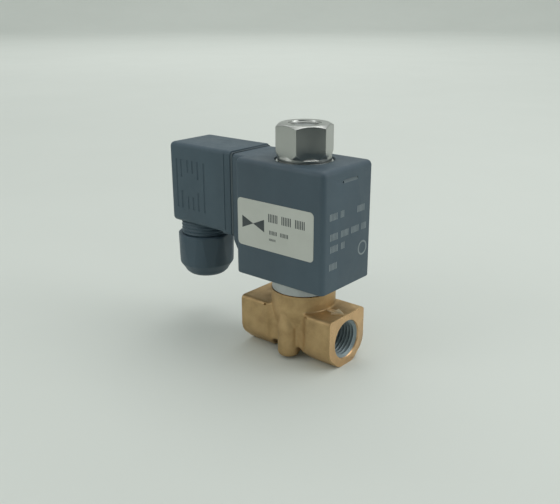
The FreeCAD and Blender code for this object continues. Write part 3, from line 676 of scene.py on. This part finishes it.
def make_prints():
    label_low, _ = node_box("nameplate")
    _, coil_high = node_box("coil_housing")
    ink = surface("label_ink", (0.055, 0.065, 0.07), (0.04, 0.05, 0.055), 0.5, mottle=200)
    pale = surface("side_print", (0.25, 0.29, 0.305), (0.20, 0.235, 0.25), 0.55, mottle=300)
    rows = word_strokes(-4.3, 12.6, 50.6, 2.9, 0.72) + word_strokes(-3.9, 5.7, 46.3, 1.4, 0.6)
    rows += word_strokes(-4.0, -0.8, 44.1, 0.8, 0.5)
    printed("label_print", rows, "Y", label_low.y + 0.035, -0.035, "coil", ink, "label_film")
    tall, pitch = 2.3, 0.74
    rows = []
    spans = [(-10.4, -1.9, 54.2), (5.0, 10.8, 54.0), (-10.0, 11.2, 47.4), (-9.8, -1.0, 43.3),
             (-10.2, -4.6, 37.3)]
    for start, stop, low_z in spans:
        rows += word_strokes(start, stop, low_z, tall, pitch)
    printed("side_marks", rows, "X", coil_high.x - 0.01, 0.03, "coil", pale, "coil_plastic")
    inner_r, outer_r, under, over = 2.0, 2.6, coil_high.x - 0.01, coil_high.x + 0.02
    ring = turned([(inner_r, under), (outer_r, under), (outer_r, over), (inner_r, over)], 48, True, "X",
                  (0, 8.6, 40.8))
    finished(ring, "side_ring", "coil", "coil_plastic", [pale])
    middle_x, middle_z, reach, half_height = -11.2, 48.8, 5.0, 2.2
    bow = []
    for side in (-1, 1):
        far_x = middle_x + reach * side
        corners = [(far_x, middle_z - half_height, 0), (middle_x, middle_z, 0),
                   (far_x, middle_z + half_height, 0)]
        bow.append(prism(corners[::-side], "Y", label_low.y, label_low.y + 0.035))
    finished(join(*bow), "label_symbol", "coil", "label_film", [ink])


def make_washer():
    low, high = node_box("coil_washer")
    outer, inner, chamfer = high.x, 5.2, 0.2
    profile = [(inner, low.z), (outer, low.z), (outer, high.z - chamfer), (outer - chamfer, high.z),
               (inner, high.z)]
    zinc = machined_rings("zinc_washer", (0.62, 0.64, 0.62), (0, 0, 0), "Z", 0.3, 0.32)
    return finished(turned(profile, 96, closed=True), "washer", "coil", "zinc_steel", [zinc], "coil_washer")


# ---- coil nut ------------------------------------------------------------------
def sided(sides, across_flats, first_corner_deg, z0, z1, x=0.0):
    corner_r = across_flats / 2 / math.cos(math.pi / sides)
    bm = bmesh.new()
    turn = Matrix.Rotation(math.radians(first_corner_deg + 90), 4, "Z")
    place = Matrix.Translation((x, 0, (z0 + z1) / 2)) @ turn
    bmesh.ops.create_cone(bm, cap_ends=True, segments=sides, radius1=corner_r, radius2=corner_r,
                          depth=z1 - z0, matrix=place)
    return bm


def make_coil_nut():
    low, high = node_box("coil_nut")
    flats, corner_deg, chamfer_r, foot_r = 17.4, -8.3, 8.3, 9.25
    corner_r = flats / math.sqrt(3) + 0.1
    fall = (corner_r - chamfer_r) * math.tan(math.radians(30))
    envelope = turned([(0, low.z + 0.1), (foot_r, low.z + 0.1), (foot_r, low.z + 1.6),
                       (corner_r, low.z + 3.4), (corner_r, high.z - fall), (chamfer_r, high.z),
                       (0, high.z)], 120)
    nut = join(sided(6, flats, corner_deg, low.z + 0.1, high.z), envelope, how="INTERSECT")
    flare = [(foot_r - 0.62 * math.sin(k * FULL_TURN / 32), low.z + 3.3 - 2.0 * math.cos(k * FULL_TURN / 32))
             for k in range(9)]
    rim = [(0, low.z), (foot_r - 0.25, low.z), (foot_r, low.z + 0.25)]
    foot = turned(rim + flare + [(0, low.z + 3.3)], 120)
    nut = softened(join(nut, foot), 0.15, 4)
    bore = turned([(0, low.z - 1), (4.9, low.z - 1), (4.9, high.z - 0.6), (5.4, high.z - 0.45), (5.6, high.z),
                   (5.6, high.z + 1), (0, high.z + 1)])
    paint(bore, 1)
    nut = cut(nut, bore)
    nickel = satin_nickel("satin_nickel")
    inside = machined_rings("nut_bore", (0.50, 0.51, 0.49), (0, 0, 0), "Z", 0.3, 0.34)
    piece = finished(nut, "hex_nut", "coil_nut", "nut_nickel", [nickel, inside], "coil_nut", sharp_deg=20)
    return piece


# ---- connector -----------------------------------------------------------------
def neck_profile(crest, top, bottom, bore):
    root, pitch = crest - 0.42, 1.4
    profile = [(bore, top + 1), (root, top + 1), (root, top - 0.25)]
    z = top - 0.35
    while z - pitch > bottom:
        profile += [(crest - 0.06, z - 0.38), (crest, z - 0.5), (crest, z - 0.66), (crest - 0.06, z - 0.78),
                    (root, z - 1.15), (root, z - 1.3)]
        z -= pitch
    return profile + [(root - 0.3, bottom), (bore, bottom)]


def make_connector():
    low, high = node_box("connector_housing")
    outer_x, step_x, face_x = -56.2, -27.8, high.x
    half, foot_half, bottom, foot_bottom, top = high.y, high.y - 0.15, 41.1, 40.4, high.z
    gland_x = joint_point("gland_nut_turn").x
    mid_z = joint_point("connector_screw_turn").z
    grip = box((outer_x, -half, bottom), (step_x, half, top))
    round_off(grip, 1.8, lambda m, way: m.x < step_x - 0.1)
    foot = box((step_x - 1.5, -foot_half, foot_bottom), (face_x, foot_half, top))
    round_off(foot, 1.5, lambda m, way: abs(way.x) > 0.9)
    round_off(foot, 0.15, lambda m, way: m.x > face_x - 0.01 and abs(way.x) < 0.1, 2)
    bulge = turned([(0, bottom - 0.1), (8.8, bottom - 0.1), (9.0, bottom + 0.2), (9.0, 49.5), (8.6, 50.5),
                    (6.0, 54.5), (0, 56)], centre=(gland_x, 0, 0))
    neck = turned(neck_profile(9.3, bottom, 27.0, 5.0), 96, True, centre=(gland_x, 0, 0))
    housing = join(grip, foot, bulge, neck)
    wall = 1.85
    inner = half - wall
    cavity = box((outer_x + 2.2, -inner, bottom + wall), (face_x + 1, inner, top - wall))
    housing = cut(housing, cavity, rod(5.0, 26, bottom + wall + 1, "Z", (gland_x, 0, 0)),
                  rod(6.5, 26, 36.0, "Z", (gland_x, 0, 0)))
    screw_boss = rod(4.2, outer_x + 0.5, outer_x + 5.0, "X", (0, 0, mid_z))
    housing = join(housing, screw_boss)
    recess = turned([(0, outer_x - 2), (3.4, outer_x - 2), (3.4, outer_x), (3.1, outer_x + 0.3),
                     (3.1, outer_x + 3.0), (0, outer_x + 3.0)], 64, False, "X", (0, 0, mid_z))
    housing = cut(housing, recess, rod(1.55, outer_x - 2, outer_x + 6, "X", (0, 0, mid_z), 40))
    for groove in grip_grooves(half, mid_z):
        housing = cut(housing, groove)
    plastic = moulded_plastic("connector_plastic", (0.051, 0.084, 0.109), 0.52)
    return finished(housing, "connector_shell", "connector", "connector_plastic", [plastic],
                    "connector_housing")


def grip_grooves(half, mid_z):
    """Upright finger grooves on both flanks, with a plain oval between the middle ones."""
    places = [-52.2, -49.7, -46.4, -43.8, -41.1, -37.9]
    low_z, high_z, depth, lip, floor = 47.0, 65.4, 0.24, 0.62, 0.22
    tools = []
    for side in (-1, 1):
        for k, x in enumerate(places):
            inner = k in (1, 2, 3, 4)
            reach = 4.6 if k in (2, 3) else 2.6
            spans = [(low_z, mid_z - reach), (mid_z + reach, high_z)] if inner else [(low_z, high_z)]
            for z0, z1 in spans:
                outside, inside = (half + 0.1) * side, (half - depth) * side
                outline = [(x - lip, outside, 0), (x + lip, outside, 0), (x + floor, inside, 0),
                           (x - floor, inside, 0)]
                tools.append(prism(outline, "Z", z0, z1))
    return tools


def make_gland_nut():
    low, high = node_box("gland_nut")
    gland_x = joint_point("gland_nut_turn").x
    sides, flats, corner_deg, shoulder_z, outer = 8, 20.9, -12.9, 23.6, 10.9
    z0, z1 = low.z, high.z
    envelope = turned([(0, z0), (5.6, z0), (7.2, z0 + 0.6), (8.3, z0 + 1.6), (8.9, z0 + 2.7),
                       (outer - 0.4, shoulder_z), (outer, z1 - 0.6), (outer - 0.7, z1), (0, z1)], 128,
                      centre=(gland_x, 0, 0))
    nut = join(sided(sides, flats, corner_deg, z0 - 1, z1 + 1, gland_x), envelope, how="INTERSECT")
    nut = softened(nut, 0.16, 16)
    nut = trim(nut, (0, 0, z0 + 0.12), (0, 0, -1))
    for face in nut.faces:
        face.material_index = 0
    axis_place = (gland_x, 0, 0)
    cable_hole = turned([(0, z0 - 1), (5.0, z0 - 1), (5.0, z0 + 0.3), (4.5, z0 + 0.9), (4.5, 24), (0, 24)],
                        centre=axis_place)
    nut = cut(nut, rod(9.36, 26.0, z1 + 1, "Z", axis_place, 96), rod(8.0, 23.0, 26.5, "Z", axis_place, 96),
              cable_hole)
    plastic = moulded_plastic("gland_plastic", (0.048, 0.080, 0.106), 0.52)
    return finished(nut, "gland_cap", "gland_nut", "gland_plastic", [plastic], "gland_nut")


# ---- CAD nodes that stay, with better materials ----------------------------------
def dress_nodes():
    steel = machined_rings("drawn_steel", (0.56, 0.57, 0.56), (0, 0, 0), "Z", 0.25, 0.30)
    rubber = surface("black_rubber", (0.030, 0.032, 0.033), (0.018, 0.019, 0.020), 0.72, mottle=140,
                     grain=1600, depth=0.00004)
    gasket = surface("slate_rubber", (0.085, 0.110, 0.125), (0.070, 0.095, 0.110), 0.62, mottle=140,
                     grain=1800)
    nylon = surface("natural_nylon", (0.62, 0.58, 0.48), (0.54, 0.50, 0.41), 0.45, mottle=50, grain=1200,
                    Subsurface_Weight=0.1)
    zinc = surface("zinc_plate", (0.62, 0.64, 0.63), (0.50, 0.52, 0.50), 0.32, 1.0, mottle=120, grain=1500)
    tinned = surface("tinned_brass", (0.66, 0.60, 0.44), (0.55, 0.48, 0.32), 0.30, 1.0, mottle=160,
                     grain=1500)
    finishes = {
        "fixed_core": steel, "plunger": steel, "plunger_seal": rubber,
        "tube_seal_ring": rubber, "yoke_frame": zinc, "bobbin": nylon,
        "coil_winding": wound_copper("wound_copper"),
        "power_blades": tinned, "earth_blade": tinned, "screw_insert": tinned, "connector_gasket": gasket,
        "terminal_block": nylon, "contact_sleeves": tinned, "terminal_screws": zinc, "connector_screw": zinc,
        "screw_seal": rubber, "gland_washer": nylon, "gland_grommet": rubber}
    for node, finish in finishes.items():
        slots = frame["nodes"][node].data.materials
        slots.clear()
        slots.append(finish)


make_camera()
make_stage()
make_dark_card()
make_light()
make_valve_body()
make_flow_arrow()
make_stem()
make_spring()
make_coil()
make_label()
make_prints()
make_washer()
make_coil_nut()
make_connector()
make_gland_nut()
dress_nodes()
